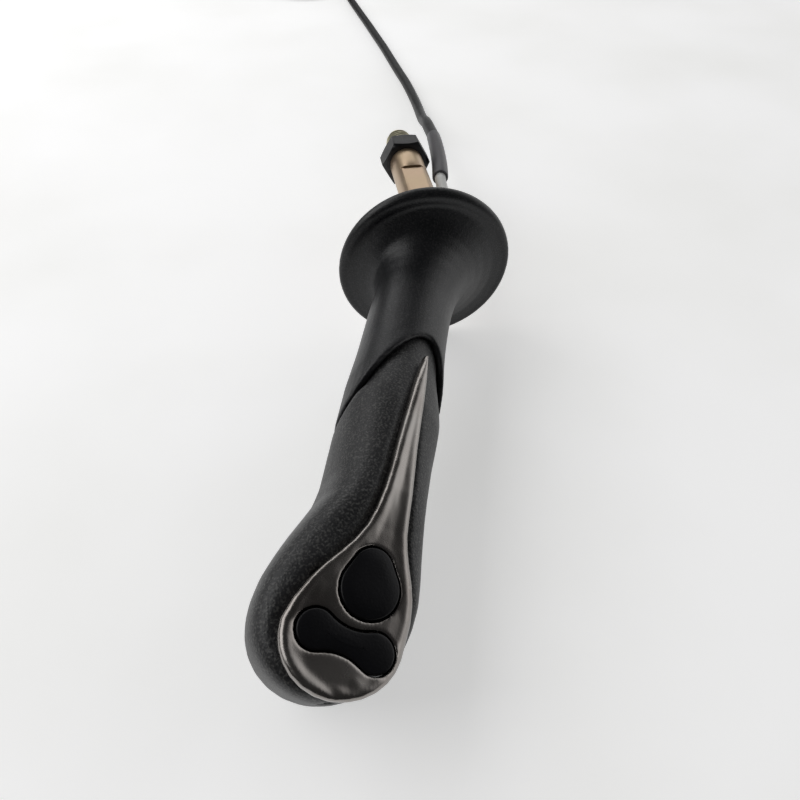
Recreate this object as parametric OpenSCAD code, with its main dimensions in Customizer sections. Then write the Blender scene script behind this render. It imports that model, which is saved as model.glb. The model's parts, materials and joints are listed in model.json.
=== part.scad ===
// Industrial joystick grip on a bent lever rod, lying on its back with its cord run out.
// +Y runs along the straight end of the rod, +Z is up from the table, and the origin is
// under the middle of the joystick. The grip itself is drawn in a frame of its own, with
// +Y from the bell towards the head and +X to the left, and then turned by its lean.

/* [Skirt] */
// Outer radius of the bell's rim
rim_r = 35.3; // [33:0.1:38]
// Radius of the rim's rolled edge
lip_r = 1.8; // [1.4:0.1:2]
// Wall of the bell and of its sleeve on the neck
skirt_wall = 2.4; // [2:0.1:2.6]
// Where the bell starts to flare, from the rim's plane
flare_s = 40; // [38:0.5:43]
// Where the sleeve's arch ends over the face side
arch_s = 52.3; // [50:0.1:56]
// How much further the sleeve reaches behind the grip
arch_drop = 36; // [30:1:40]

/* [Grip] */
// Angle between the grip and the straight rod, seen from above
lean = 17.5; // [14:0.5:20]
// Radius of the neck
neck_r = 15.8; // [15.5:0.1:17]
// Height of the neck's middle above the table
neck_z = 31.7; // [31:0.1:33]
// Half width of the stem
stem_hw = 15.8; // [15.5:0.1:17]
// Half width of the head
head_hw = 21.5; // [21:0.1:23]
// Depth of the head from its middle to the face
face_h = 18.6; // [18:0.1:19.5]
// Depth of the head from its middle to its back
back_h = 20.1; // [19.5:0.1:20.6]
// Length from the rim's plane to the end of the head
grip_len = 168.4; // [166:0.1:172]
// Wall of the two grip shells
shell_wall = 2.8; // [2.4:0.1:3]
// Gap at the seam between the shells
seam = 0.2; // [0.1:0.05:0.4]

/* [Face trim] */
// Height of the trim's rim above the shell
trim_h = 2.3; // [2:0.1:2.8]
// Depth of the pocket that the trim sits in
pocket = 1.2; // [0.8:0.1:1.4]
// Width of the open groove around the trim
groove = 1.3; // [0.8:0.1:1.6]
// Half width of the trim at the head
trim_hw = 16; // [15.5:0.1:17]
// Radius of the trim's rounded edge
trim_round = 1.7; // [1.2:0.1:2]
// Depth of the dish inside the rounded edge
dish = 0.6; // [0.3:0.1:0.9]

/* [Controls] */
// Radius of the wide end of the egg-shaped button
egg_r = 7.7; // [7.2:0.1:8]
// Gap around a button in the trim
button_gap = 0.45; // [0.4:0.05:0.6]
// Travel of the egg-shaped button
press = 1.5; // [1:0.1:1.5]
// Distance from the rocker's pivot to the middle of each lobe
lobe_x = 7.7; // [7.5:0.1:8]
// Radius of a rocker lobe
lobe_r = 4.8; // [4.5:0.1:5]
// Tilt of the rocker each way in degrees
tilt = 4.5; // [3:0.5:4.5]
// Radius of the rocker's pivot pin
pin_r = 1; // [0.9:0.05:1.1]
// Running clearance of a pin or stem in its bore
run = 0.06; // [0.03:0.01:0.09]
// Thickness of the plate that carries the buttons
carrier_t = 1.6; // [1.4:0.1:1.8]
// Thickness of the switch board
board_t = 1.6; // [1.2:0.1:2]
// Height of the switches
switch_h = 3.5; // [3.3:0.1:3.8]

/* [Rod] */
// Diameter of the rod
rod_d = 18; // [16:0.5:18]
// Distance across the two wrench flats
flat_w = 16; // [14:0.5:17]
// Outer diameter of the thread
thread_d = 14; // [12:1:16]
// Distance across the lock nut's flats
nut_af = 22; // [21:0.5:24]
// Thickness of the lock nut
nut_h = 11; // [8:0.5:12]
// Distance from the rim's plane to the shoulder that the nut locks against
shoulder_y = 93.5; // [90:0.5:98]
// Length of the thread
thread_l = 30.5; // [28:0.5:36]
// Offset of the straight rod from the rim's middle
rod_x = 7.5; // [6:0.1:8]
// Distance from the rim's plane to the corner of the bend
bend_y = 31; // [28:0.5:34]
// Radius of the bend's centreline
bend_r = 30; // [24:1:36]
// Diameter of the turned end inside the grip
spigot_d = 11; // [10:0.1:11.5]
// Outer diameter of the socket that holds the turned end
socket_d = 15; // [14.5:0.1:15]

/* [Cord] */
// Diameter of the cord
cord_d = 7; // [6:0.1:7.5]
// Diameter of the grey sleeve over the joint in the cord
sleeve_d = 8.8; // [8:0.1:9]
// Diameter of the white tube on the leads
tube_d = 5.6; // [5:0.1:6]
// Diameter of the leads inside the grip
lead_d = 4.2; // [4:0.1:4.2]
// Radius of the coil to the middle of its turns
coil_r = 38; // [36:1:42]
// Turns in the coil
coil_turns = 2; // [2:1:3]

/* [Hidden] */

around = 40;              // corners of a section of the grip
recess = skirt_wall + 0.2; // how deep the shells sit under the sleeve
// A place along a grip of the drawn length: the head moves whole with grip_len, and the
// stem stretches
function at(s) = s + (grip_len - 168.4) * min(max((s - 75) / 53, 0), 1);
cap_s = at(148);          // where the head starts to close
stem_z = neck_z - 4.9;    // height of the stem's middle
head_z = back_h + 0.4;    // height of the head's middle

// Sections of the grip: place along it, middle to the left, half width, height of the
// middle, half depth to the face and to the back, roundness of face and back, roll of
// the face away from straight up, and lean of the section
GRIP = [
    [20, 2.3, neck_r, neck_z + 2.8, neck_r, neck_r, 2, 2, 45, 0],
    [50, 2.3, neck_r, neck_z, neck_r, neck_r, 2, 2, 44, 0],
    [75, 2.1, stem_hw + 1.3, neck_z - 2.5, 17, 17, 2.1, 2.1, 41, 0],
    [at(100), 2.9, stem_hw, stem_z, 17.8, 17.8, 2.3, 2.1, 36, 0],
    [at(115), 3.5, stem_hw - 0.2, stem_z - 1.8, 18.3, 18.8, 2.8, 2.2, 31, 0.05],
    [at(128), 6, head_hw - 2.6, head_z + 2.4, face_h + 0.2, back_h - 0.1, 3.5, 2.3, 25, 0.1],
    [at(142), 7.9, head_hw, head_z + 0.9, face_h + 0.2, back_h + 0.3, 4.5, 2.4, 20, 0.16],
    [at(152), 9, head_hw - 0.7, head_z, face_h, back_h - 0.2, 4.8, 2.4, 18, 0.2]
];

// Teardrop of the trim: place along the grip, middle, and half width
TRIM = [
    [63, 2, 0.5],
    [75, 2.4, 1.9],
    [at(100), 1.3, 3.4],
    [at(115), -0.4, 4.5],
    [at(126), -2.8, 6.1],
    [at(132), -3.4, 8.6],
    [at(138), -3.4, 12.1],
    [at(145), -3.2, trim_hw - 0.9],
    [at(152), -2.8, trim_hw]
];
trim_end = at(167.8);     // far end of the trim
trim_round_s = at(152);   // where its round end starts

function unit(v) = v / norm(v);
function mix(a, b, f) = a + (b - a) * f;
function ease(f) = let (c = min(max(f, 0), 1)) c * c * (3 - 2 * c);
function spread(v, k, e) = sign(v) * pow(abs(v), e) * k;

// Smooth curve through column c of a table whose first column is the place
function seg(rows, x, i = 0) = i >= len(rows) - 2 || x < rows[i + 1][0] ? i : seg(rows, x, i + 1);
function rise(rows, i, c) =
    let (a = max(i - 1, 0), b = min(i + 1, len(rows) - 1))
    (rows[b][c] - rows[a][c]) / (rows[b][0] - rows[a][0]);
function curve(rows, place, c) =
    let (
        x = min(max(place, rows[0][0]), rows[len(rows) - 1][0]),
        i = seg(rows, x),
        h = rows[i + 1][0] - rows[i][0],
        t = (x - rows[i][0]) / h
    )
    (2 * t ^ 3 - 3 * t ^ 2 + 1) * rows[i][c] + (t ^ 3 - 2 * t ^ 2 + t) * h * rise(rows, i, c)
    + (3 * t ^ 2 - 2 * t ^ 3) * rows[i + 1][c] + (t ^ 3 - t ^ 2) * h * rise(rows, i + 1, c);

// A point of section s, x across its face and z out of it
function lay(x, z, s) =
    let (r = curve(GRIP, s, 8), dx = x * cos(r) - z * sin(r), dz = x * sin(r) + z * cos(r))
    [curve(GRIP, s, 1) + dx, s + curve(GRIP, s, 9) * dz, curve(GRIP, s, 3) + dz];
function closing(s, off) =
    let (c = (s - cap_s) / (grip_len - off - cap_s)) c <= 0 ? 1 : sqrt(max(0, 1 - c * c));
// A point of the grip's skin at angle t of section s, moved in by off
function skin(s, t, off = 0) =
    let (
        f = closing(s, off),
        up = sin(t) >= 0,
        e = 2 / curve(GRIP, s, up ? 6 : 7),
        x = spread(cos(t), (curve(GRIP, s, 2) - off) * f, e),
        h = (curve(GRIP, s, up ? 4 : 5) - off) * pow(f, up ? 0.2 : 0.8)
    )
    lay(x, spread(sin(t), h, e), s);
// A point on the face side, x across it and h above it; the face runs on past the cap
function face(x, s, h = 0) =
    let (n = curve(GRIP, s, 6), u = min(abs(x) / curve(GRIP, s, 2), 0.88))
    lay(x, curve(GRIP, s, 4) * pow(1 - pow(u, n), 1 / n) + h, s);

// Where the sleeve ends at angle t: an arch over the face side of the neck
function turn(t) = abs((t - 90 + 540) % 360 - 180);
function arch(t) = arch_s + arch_drop * (1 - cos(min(turn(t) * 1.45, 180))) / 2;
// How deep the shells lie below the skin: under the sleeve, and fading out past the arch
function sunk(s, t) =
    recess * (1 - ease((s - arch(t)) / (1.5 + 40 * pow(max(cos(turn(t)), 0), 2))));

// Angles of a section's corners, one of them straight under the rim
roll = curve(GRIP, flare_s, 8);
CORNERS = [for (i = [0 : around - 1]) 360 / around * i - roll];

// Triangles between rings of n points, and flat ends
function bands(n, m) = [
    for (j = [0 : m - 2], i = [0 : n - 1])
        each let (a = j * n + i, b = j * n + (i + 1) % n) [[a, b, b + n], [a, b + n, a + n]]
];
function near_end(n) = [for (i = [1 : n - 2]) [0, i + 1, i]];
function far_end(n, base) = [for (i = [1 : n - 2]) [base, base + i, base + i + 1]];
module loft(rings) {
    n = len(rings[0]);
    m = len(rings);
    polyhedron([for (r = rings) each r], concat(bands(n, m), near_end(n), far_end(n, (m - 1) * n)));
}
// Joins its children into one plain mesh
module merged() resize([0, 0, 0]) children();
// The joystick's own frame, and the grip turned in it by its lean
module placed() translate([-mid_x, -mid_y, 0]) children();
module grip_frame() placed() rotate([0, 0, 180 - lean]) children();
function to_row(p) = [
    -p[0] * cos(lean) - p[1] * sin(lean),
    p[0] * sin(lean) - p[1] * cos(lean),
    p[2]
];

// Rings of the neck between the flare and the arch, the same on the sleeve and the shells
NECK = [0, 0.33, 0.67, 1];

// ---- the two shells ----
function stations(t, first, off) = concat(
    [first],
    [for (f = NECK) mix(flare_s, arch(t), f)],
    [for (g = [0.02, 0.08, 0.18, 0.32, 0.5, 0.75, 1]) mix(arch(t), at(110), g)],
    [for (s = [117 : 6 : 148]) at(s)],
    [for (a = [8 : 13 : 86]) mix(cap_s, grip_len - off, sin(a))]
);
shell_start = flare_s - 2;
module core_outside() loft([
    for (j = [0 : len(stations(0, shell_start, 0)) - 1])
        [for (t = CORNERS) let (s = stations(t, shell_start, 0)[j]) skin(s, t, sunk(s, t))]
]);
function inner_off(s) = shell_wall + (recess - 0.5) * (1 - ease((s - 75) / 30));
// The space inside, or a little more of it, out into the wall
module core_inside(out = 0) loft([
    for (s = concat(
        [10, 40, 75, 85, 95],
        [for (k = [105 : 9 : 148]) at(k)],
        [for (a = [12 : 18 : 85]) mix(cap_s, grip_len - shell_wall + out, sin(a))]
    ))
        [for (i = [0 : 27]) skin(s, 360 / 28 * i, inner_off(s) - out)]
]);
// Everything below the seam, or gap above it
seam_drop = 4;
function seam_z(s) = curve(GRIP, s, 3) - seam_drop;
module under_seam(gap)
    rotate([90, 0, 90])
        translate([0, 0, -60])
            linear_extrude(120)
                polygon(concat(
                    [for (s = [0 : 12 : 156]) [at(s), seam_z(at(s)) + gap]],
                    [[200, head_z - seam_drop + gap], [200, -9], [0, -9]]
                ));
// Ribs that hold the socket in the neck
rib_t = 3;
RIBS = [44, 70];
module ribs()
    difference() {
        intersection() {
            for (s = RIBS) translate([-20, s, 0]) cube([40, rib_t, 60]);
            core_inside(1.1);
        }
        on_spigot(-10) cylinder(d = socket_d + 0.3, h = 120, $fn = 32);
        lead_way();
    }
// Clear way for the leads beside the socket
module lead_way()
    hull()
        for (s = [24, 84])
            translate(lead_at(s)) sphere(d = lead_d + 1, $fn = 16);
// Screws that join the shells: across and along the grip, and the seat of the head
SHELL_SCREWS = [[22, at(146), 8], [17, at(160), 10], [5.5, at(113), 11]];
column_r = 4.6;
screw_r = 1.5;
head_r = 2.8;
screw_l = 16;
module columns()
    intersection() {
        for (p = SHELL_SCREWS)
            translate([p[0], p[1], 0]) {
                cylinder(r = column_r, h = seam_z(p[1]), $fn = 20);
                cylinder(r = 3, h = 50, $fn = 20);
            }
        core_inside(1.2);
    }
module screw_holes()
    for (p = SHELL_SCREWS)
        translate([p[0], p[1], p[2]]) {
            translate([0, 0, -1]) cylinder(r = screw_r + 0.15, h = screw_l + 2, $fn = 16);
            translate([0, 0, -20]) cylinder(r = head_r + 0.3, h = 20, $fn = 20);
        }
module shell_walls() {
    difference() {
        core_outside();
        core_inside();
    }
    ribs();
    columns();
}
module rear_shell()
    color([0.09, 0.095, 0.1])
        grip_frame()
            merged()
                difference() {
                    intersection() {
                        shell_walls();
                        under_seam(-seam / 2);
                    }
                    screw_holes();
                }
module front_shell()
    color([0.09, 0.095, 0.1])
        grip_frame()
            merged()
                difference() {
                    union() {
                        difference() {
                            shell_walls();
                            on_face() room();
                        }
                        intersection() {
                            on_face() carrier_posts();
                            core_inside(1);
                        }
                    }
                    under_seam(seam / 2);
                    screw_holes();
                    trim_block(groove, -pocket, 9);
                    on_face() {
                        windows();
                        post_holes();
                    }
                    for (p = TRIM_PINS) on_pin(p) pin_hole();
                }
module shell_screws()
    color([0.3, 0.3, 0.3])
        grip_frame()
            for (p = SHELL_SCREWS)
                translate([p[0], p[1], p[2] - 0.05])
                    difference() {
                        union() {
                            cylinder(r = screw_r, h = screw_l);
                            translate([0, 0, -2]) cylinder(r = head_r, h = 2);
                        }
                        translate([0, 0, -3]) cylinder(r = 1.3, h = 2.2, $fn = 6);
                    }

// ---- the skirt: bell and neck sleeve in one moulding ----
function rim(t, r, y) = [
    r * cos(t) * cos(lean) + y * sin(lean),
    r * cos(t) * sin(lean) - y * cos(lean),
    rim_r + r * sin(t)
];
neck_pull = 25;           // how far the neck runs on before it flares
rim_pull = 18;            // width of the rim's flat part
dip = 5;                  // how far the rim's flat part leans to the grip
// Flare of the bell from the neck, u = 0, to the rim, u = 1
function flare(u, t) =
    let (
        p = skin(flare_s, t),
        q = p + [0, -neck_pull, neck_pull * 0.093],
        r = rim(t + roll, rim_r - lip_r - rim_pull, -dip),
        e = rim(t + roll, rim_r - lip_r, 0)
    )
    (1 - u) ^ 3 * p + 3 * u * (1 - u) ^ 2 * q + 3 * u ^ 2 * (1 - u) * r + u ^ 3 * e;
function inward(u, t) =
    unit(cross(flare(u + 0.01, t) - flare(u - 0.01, t), flare(u, t + 1) - flare(u, t - 1)));
function lip(t, a) =
    rim(t + roll, rim_r - lip_r + lip_r * cos(a), skirt_wall / 2 + lip_r * sin(a));
FLARE = [0.08, 0.2, 0.33, 0.46, 0.58, 0.69, 0.8, 0.9];
function skirt_profile(t) = concat(
    [for (f = NECK) skin(mix(arch(t) - 0.3, flare_s, f), t)],
    [for (u = FLARE) flare(u, t)],
    [for (a = [-75 : 30 : 75]) lip(t, a)],
    [for (i = [len(FLARE) - 1 : -1 : 0]) flare(FLARE[i], t) + skirt_wall * inward(FLARE[i], t)],
    [for (i = [3, 2, 1, 0]) skin(mix(arch(t) - 0.3, flare_s, NECK[i]), t, skirt_wall)]
);
module skirt() {
    wall = [for (t = CORNERS) skirt_profile(t)];
    n = len(wall);
    m = len(wall[0]);
    color([0.08, 0.085, 0.09])
        grip_frame()
            polyhedron(
                [for (w = wall) each w],
                [
                    for (i = [0 : n - 1], j = [0 : m - 1])
                        each let (
                            a = i * m + j,
                            b = i * m + (j + 1) % m,
                            c = ((i + 1) % n) * m + j,
                            d = ((i + 1) % n) * m + (j + 1) % m
                        )
                        [[a, b, d], [a, d, c]]
                ]
            );
}

// ---- the face trim ----
function end_half(s, grow) =
    (trim_hw + grow) * sqrt(max(0, 1 - ((s - trim_round_s) / (trim_end + grow - trim_round_s)) ^ 2));
function trim_half(s, grow = 0) = s > trim_round_s ? end_half(s, grow) : curve(TRIM, s, 2) + grow;
function trim_mid(s) = curve(TRIM, s, 1);
EDGES = [1, 0.985, 0.96, 0.92, 0.86, 0.77, 0.6, 0.3];
ACROSS = concat(EDGES, [0], [for (i = [len(EDGES) - 1 : -1 : 0]) -EDGES[i]]);
UNDER = [-1, -0.92, -0.78, -0.4, 0, 0.4, 0.78, 0.92, 1];
function trim_places(grow) = concat(
    [63 - grow],
    [for (s = [66, 70, 75, 83, 92, 100, 108, 115, 121, 126, 130, 134, 138, 142, 147, 152]) at(s)],
    [for (a = [13 : 12.5 : 88]) mix(trim_round_s, trim_end + grow, sin(a))]
);
// Distance from the trim's edge, and the height of its top there
function from_edge(f, s) =
    let (g = (trim_half(s + 0.3) - trim_half(s - 0.3)) / 0.6)
    trim_half(s) * (1 - abs(f)) / sqrt(1 + g * g);
function trim_top(f, s) =
    let (d = from_edge(f, s), k = 1 - min(d / trim_round, 1))
    trim_h - trim_round * (1 - sqrt(1 - k * k)) - dish * ease((d - trim_round) / 2.5);
// A block that follows the face from low to high; with no high it has the trim's own top
module trim_block(grow, low, high = 0)
    loft([
        for (s = trim_places(grow))
            let (m = trim_mid(s), w = trim_half(s, grow))
            concat(
                [for (f = ACROSS) face(m + f * w, s, high > 0 ? high : trim_top(f, s))],
                [for (f = UNDER) face(m + f * w, s, low)]
            )
    ]);
// Pins of the trim that pass through the front shell: across and along the grip
TRIM_PINS = [[-0.2, at(113)], [8.2, at(140.5)], [-3.4, at(163.5)]];
trim_pin_r = 1.6;
trim_pin_l = 6;
module on_pin(p)
    translate(face(p[0], p[1])) rotate([0, -curve(GRIP, p[1], 8), 0]) children();
module pin_hole() {
    translate([0, 0, -12]) cylinder(r = trim_pin_r + 0.15, h = 14, $fn = 20);
    translate([0, 0, -12]) cylinder(r = 2.7, h = 12 - trim_pin_l, $fn = 20);
}
module face_trim()
    color([0.42, 0.41, 0.39])
        grip_frame()
            merged()
                difference() {
                    union() {
                        trim_block(0, 0.2 - pocket);
                        for (p = TRIM_PINS)
                            on_pin(p)
                                translate([0, 0, -trim_pin_l])
                                    cylinder(r = trim_pin_r, h = trim_pin_l, $fn = 20);
                    }
                    on_face() {
                        tall(9) egg(button_gap);
                        tall(9) dog_bone(button_gap);
                        translate([0, 0, flange_top - 5]) linear_extrude(5.15) egg(flange_w + 0.25);
                    }
                    for (p = TRIM_PINS)
                        on_pin(p)
                            translate([0, 0, -trim_pin_l - 1]) cylinder(r = 0.95, h = 5.5, $fn = 12);
                }
module trim_screws()
    color([0.75, 0.75, 0.72])
        grip_frame()
            for (p = TRIM_PINS)
                on_pin(p)
                    translate([0, 0, -trim_pin_l - 1.5]) {
                        cylinder(r = 2.4, h = 1.4);
                        cylinder(r = 0.8, h = 5);
                    }

// ---- the controls, in a frame on the face: +Z out of it, +X to the left ----
face_x = -3.6;
face_s = at(148);
face_o = face(face_x, face_s);
face_ey = unit(face(face_x, face_s + 2) - face(face_x, face_s - 2));
face_ez = unit(cross(face(face_x + 6, face_s) - face(face_x - 6, face_s), face_ey));
face_ex = cross(face_ey, face_ez);
module on_face()
    multmatrix([
        [face_ex[0], face_ey[0], face_ez[0], face_o[0]],
        [face_ex[1], face_ey[1], face_ez[1], face_o[1]],
        [face_ex[2], face_ey[2], face_ez[2], face_o[2]]
    ])
        children();
function off_face(p) = face_o + p[0] * face_ex + p[1] * face_ey + p[2] * face_ez;
module face_frame() grip_frame() on_face() children();
module tall(h) translate([0, 0, -h]) linear_extrude(2 * h) children();
module rod_up(x, y, z, r, h, n = 32) translate([x, y, z]) cylinder(r = r, h = h, $fn = n);

egg_x = -1.4;             // middle of the egg's wide end
egg_y = -7.3;
egg_long = 5.2;           // distance between the egg's two round ends
rocker_y = 6.7;           // middle of the rocker
waist = 3;                // half width of the rocker's waist
module egg(grow)
    hull() {
        translate([egg_x, egg_y]) circle(r = egg_r + grow, $fn = 48);
        translate([egg_x + 1, egg_y - egg_long]) circle(r = egg_r - 2.4 + grow, $fn = 32);
    }
// Two round lobes joined by a waist whose flanks are arcs that touch both lobes
flank_r = (lobe_x ^ 2 + waist ^ 2 - lobe_r ^ 2) / (2 * (lobe_r - waist));
module dog_bone(grow)
    translate([0, rocker_y]) {
        for (k = [-1, 1]) translate([k * lobe_x, 0]) circle(r = lobe_r + grow, $fn = 40);
        difference() {
            square(
                [
                    2 * lobe_x * (flank_r - grow) / (flank_r + lobe_r),
                    2 * (waist + flank_r) * (lobe_r + grow) / (flank_r + lobe_r)
                ],
                center = true
            );
            for (k = [-1, 1])
                translate([0, k * (waist + flank_r)]) circle(r = flank_r - grow, $fn = 80);
        }
    }

// Heights in this frame, from the shell's face
cap_top = trim_h - dish + 0.2;     // top of the buttons
flange_top = -pocket - 0.15;       // retaining flange under the trim
flange_t = 0.8;
flange_w = 0.8;
carrier_top = -3.8;
carrier_low = carrier_top - carrier_t;
pivot_z = -3;                      // rocker's pivot
board_top = -15.5;
switch_top = board_top + switch_h;
plunger_top = switch_top + 2.2;    // tops of the switch plungers
plunger_r = 1.4;
stem_r = 2.4;                      // stem of the egg-shaped button
stem_y = egg_y - 1.5;
foot_r = 1.4;                      // feet of the rocker
ear_t = 1.8;                       // ears that hold the pivot pin
ear_r = 1.7;
ear_y = waist + 0.35;              // inner face of an ear from the rocker's middle
foot_x = 6.2;                      // their distance from the pivot
carrier_x = 10.6;                  // half width of the carrier
carrier_y = [-16, 10.8];           // its two ends
CARRIER_SCREWS = [[10.9, -0.7], [-10.9, -1.6], [8.2, -14]];
BOARD_SCREWS = [[6.8, -3], [-8.5, -12], [0, 0.9]];
post_r = 2;

module windows() {
    tall(9) egg(1.25);
    tall(9) dog_bone(1.25);
    translate([0, rocker_y, 0])
        cube([2 * ear_r + 0.8, 2 * (ear_y + ear_t) + 0.8, 18], center = true);
}
module plate() {
    difference() {
        rounded(carrier_x, carrier_y[0], carrier_y[1], 3);
        translate([TRIM_PINS[1][0] - face_x, TRIM_PINS[1][1] - face_s + 0.6]) circle(r = 3.5, $fn = 24);
    }
    for (k = [0, 1])
        translate(CARRIER_SCREWS[k]) {
            circle(r = 2.4, $fn = 24);
            translate([k == 0 ? -6 : 0, -2.4]) square([6, 4.8]);
        }
}
// Free space inside the front shell for the carrier and what it holds
module room()
    translate([0, 0, board_top - board_t - 2])
        linear_extrude(carrier_top + 0.1 - board_top + board_t + 2) offset(delta = 0.4) plate();
module carrier_posts()
    for (p = CARRIER_SCREWS) rod_up(p[0], p[1], carrier_top, post_r, 4.5, 20);
module post_holes()
    for (p = CARRIER_SCREWS) rod_up(p[0], p[1], carrier_top - 1, 0.9, 3.4, 12);
module horn_button()
    color([0.05, 0.05, 0.06])
        face_frame() {
            translate([0, 0, flange_top - flange_t]) linear_extrude(flange_t) egg(flange_w);
            translate([0, 0, flange_top]) linear_extrude(cap_top - 0.5 - flange_top) egg(0);
            translate([0, 0, cap_top - 0.5]) linear_extrude(0.3) egg(-0.25);
            translate([0, 0, cap_top - 0.2]) linear_extrude(0.2) egg(-0.7);
            rod_up(egg_x, stem_y, plunger_top + 0.15, stem_r, flange_top - plunger_top - 0.5);
        }
// A coil spring as a swept wire; n turns between heights z0 and z1
spring_sides = 6;
function wire_ring(r, w, a, z) = [
    for (i = [0 : spring_sides - 1])
        let (b = 360 / spring_sides * i, q = r + w * cos(b))
        [q * cos(a), q * sin(a), z + w * sin(b)]
];
module spring(r, w, z0, z1, n)
    loft([
        for (k = [0 : 12 * n]) wire_ring(r, w, 30 * k, mix(z0 + w, z1 - w, k / (12 * n)))
    ]);
module horn_spring()
    color([0.7, 0.7, 0.7])
        face_frame()
            translate([egg_x, stem_y, 0])
                spring(3.6, 0.25, carrier_top + 0.05, flange_top - flange_t - 0.05, 2);
module rocker()
    color([0.05, 0.05, 0.06])
        face_frame()
            difference() {
                union() {
                    translate([0, 0, -0.9]) linear_extrude(cap_top + 0.4) dog_bone(0);
                    translate([0, 0, cap_top - 0.5]) linear_extrude(0.3) dog_bone(-0.25);
                    translate([0, 0, cap_top - 0.2]) linear_extrude(0.2) dog_bone(-0.7);
                    translate([-ear_r, rocker_y - waist, pivot_z])
                        cube([2 * ear_r, 2 * waist, -pivot_z - 0.9]);
                    translate([0, rocker_y + waist, pivot_z])
                        rotate([90, 0, 0]) cylinder(r = ear_r, h = 2 * waist);
                    for (k = [-1, 1])
                        rod_up(
                            k * foot_x, rocker_y, plunger_top + 0.25, foot_r,
                            -0.5 - plunger_top - 0.25
                        );
                }
                pivot() translate([0, 0, -1]) cylinder(r = pin_r + run, h = 40, $fn = 32);
            }
// Children stand on the pivot's line, from its end nearest the egg
module pivot()
    translate([0, rocker_y - ear_y - ear_t, pivot_z]) rotate([-90, 0, 0]) children();
module rocker_pin()
    color([0.75, 0.75, 0.77])
        face_frame() pivot() cylinder(r = pin_r, h = 2 * (ear_y + ear_t));
module rocker_springs()
    color([0.7, 0.7, 0.7])
        face_frame()
            for (k = [-1, 1])
                translate([k * foot_x, rocker_y, 0])
                    spring(2.6, 0.25, carrier_top + 0.05, -0.95, 2);
module rounded(x, y0, y1, r) {
    translate([-x, y0 + r]) square([2 * x, y1 - y0 - 2 * r]);
    translate([r - x, y0]) square([2 * (x - r), y1 - y0]);
    for (k = [-1, 1], y = [y0 + r, y1 - r]) translate([k * (x - r), y]) circle(r = r, $fn = 24);
}
module button_carrier()
    color([0.82, 0.8, 0.74])
        face_frame()
            difference() {
                union() {
                    translate([0, 0, carrier_low]) linear_extrude(carrier_t) plate();
                    rod_up(egg_x, stem_y, carrier_low - 4, stem_r + 1.4, 4);
                    for (k = [-1, 1]) ear(k);
                    for (p = BOARD_SCREWS)
                        rod_up(p[0], p[1], board_top, 2.2, carrier_low - board_top, 24);
                }
                rod_up(egg_x, stem_y, carrier_low - 5, stem_r + run, 20);
                for (k = [-1, 1])
                    rod_up(k * foot_x, rocker_y, carrier_low - 1, foot_r + 0.7, 9);
                pivot() translate([0, 0, -1]) cylinder(r = pin_r + 0.02, h = 40, $fn = 32);
                translate([-ear_r - 0.4, rocker_y - ear_y + 0.1, carrier_low - 1])
                    cube([2 * ear_r + 0.8, 2 * ear_y - 0.2, 9]);
                for (p = CARRIER_SCREWS) rod_up(p[0], p[1], carrier_low - 1, 1.1, 9, 16);
                for (p = BOARD_SCREWS) rod_up(p[0], p[1], board_top - 1, 0.8, 7, 16);
            }
module ear(k)
    translate([0, rocker_y + k * (ear_y + ear_t / 2), 0]) {
        translate([-ear_r, -ear_t / 2, carrier_low]) cube([2 * ear_r, ear_t, pivot_z - carrier_low]);
        translate([0, ear_t / 2, pivot_z]) rotate([90, 0, 0]) cylinder(r = ear_r, h = ear_t);
    }
module small_screw(p, z, l, r) {
    rod_up(p[0], p[1], z - 1, 2 * r, 1, 20);
    rod_up(p[0], p[1], z, r, l, 16);
}
module carrier_screws()
    color([0.75, 0.75, 0.72])
        face_frame() for (p = CARRIER_SCREWS) small_screw(p, carrier_low - 0.05, carrier_t + 2, 0.8);
module switch_board()
    color([0.1, 0.32, 0.16])
        face_frame()
            difference() {
                translate([0, 0, board_top - board_t]) linear_extrude(board_t)
                    rounded(board_x, carrier_y[0] + 1, carrier_y[1] - 1, 2);
                for (p = BOARD_SCREWS) rod_up(p[0], p[1], board_top - 3, 1, 6, 16);
            }
module board_screws()
    color([0.75, 0.75, 0.72])
        face_frame() for (p = BOARD_SCREWS) small_screw(p, board_top - board_t - 0.05, 5, 0.75);
board_x = 9.6;
switch_w = 4.8;
module switch_case(x, y)
    difference() {
        translate([x - switch_w / 2, y - switch_w / 2, board_top])
            cube([switch_w, switch_w, switch_h]);
        rod_up(x, y, board_top + 0.4, plunger_r + run, 9, 24);
    }
module horn_switch()
    color([0.2, 0.2, 0.22]) face_frame() switch_case(egg_x, stem_y);
module rocker_switches()
    color([0.2, 0.2, 0.22])
        face_frame() for (k = [-1, 1]) switch_case(k * foot_x, rocker_y);
module plunger(x, y)
    rod_up(x, y, board_top + 0.5 + press, plunger_r, plunger_top - board_top - 0.5 - press);
module horn_plunger()
    color([0.9, 0.9, 0.85]) face_frame() plunger(egg_x, stem_y);
module rocker_plunger_left()
    color([0.9, 0.9, 0.85]) face_frame() plunger(foot_x, rocker_y);
module rocker_plunger_right()
    color([0.9, 0.9, 0.85]) face_frame() plunger(-foot_x, rocker_y);
connector_h = 6;
plug_y = carrier_y[0] + 1.5;        // face of the connector that the lead comes from
module board_connector()
    color([0.92, 0.92, 0.9])
        face_frame()
            translate([-4, plug_y, board_top - board_t - connector_h])
                cube([8, 5, connector_h]);

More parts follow.
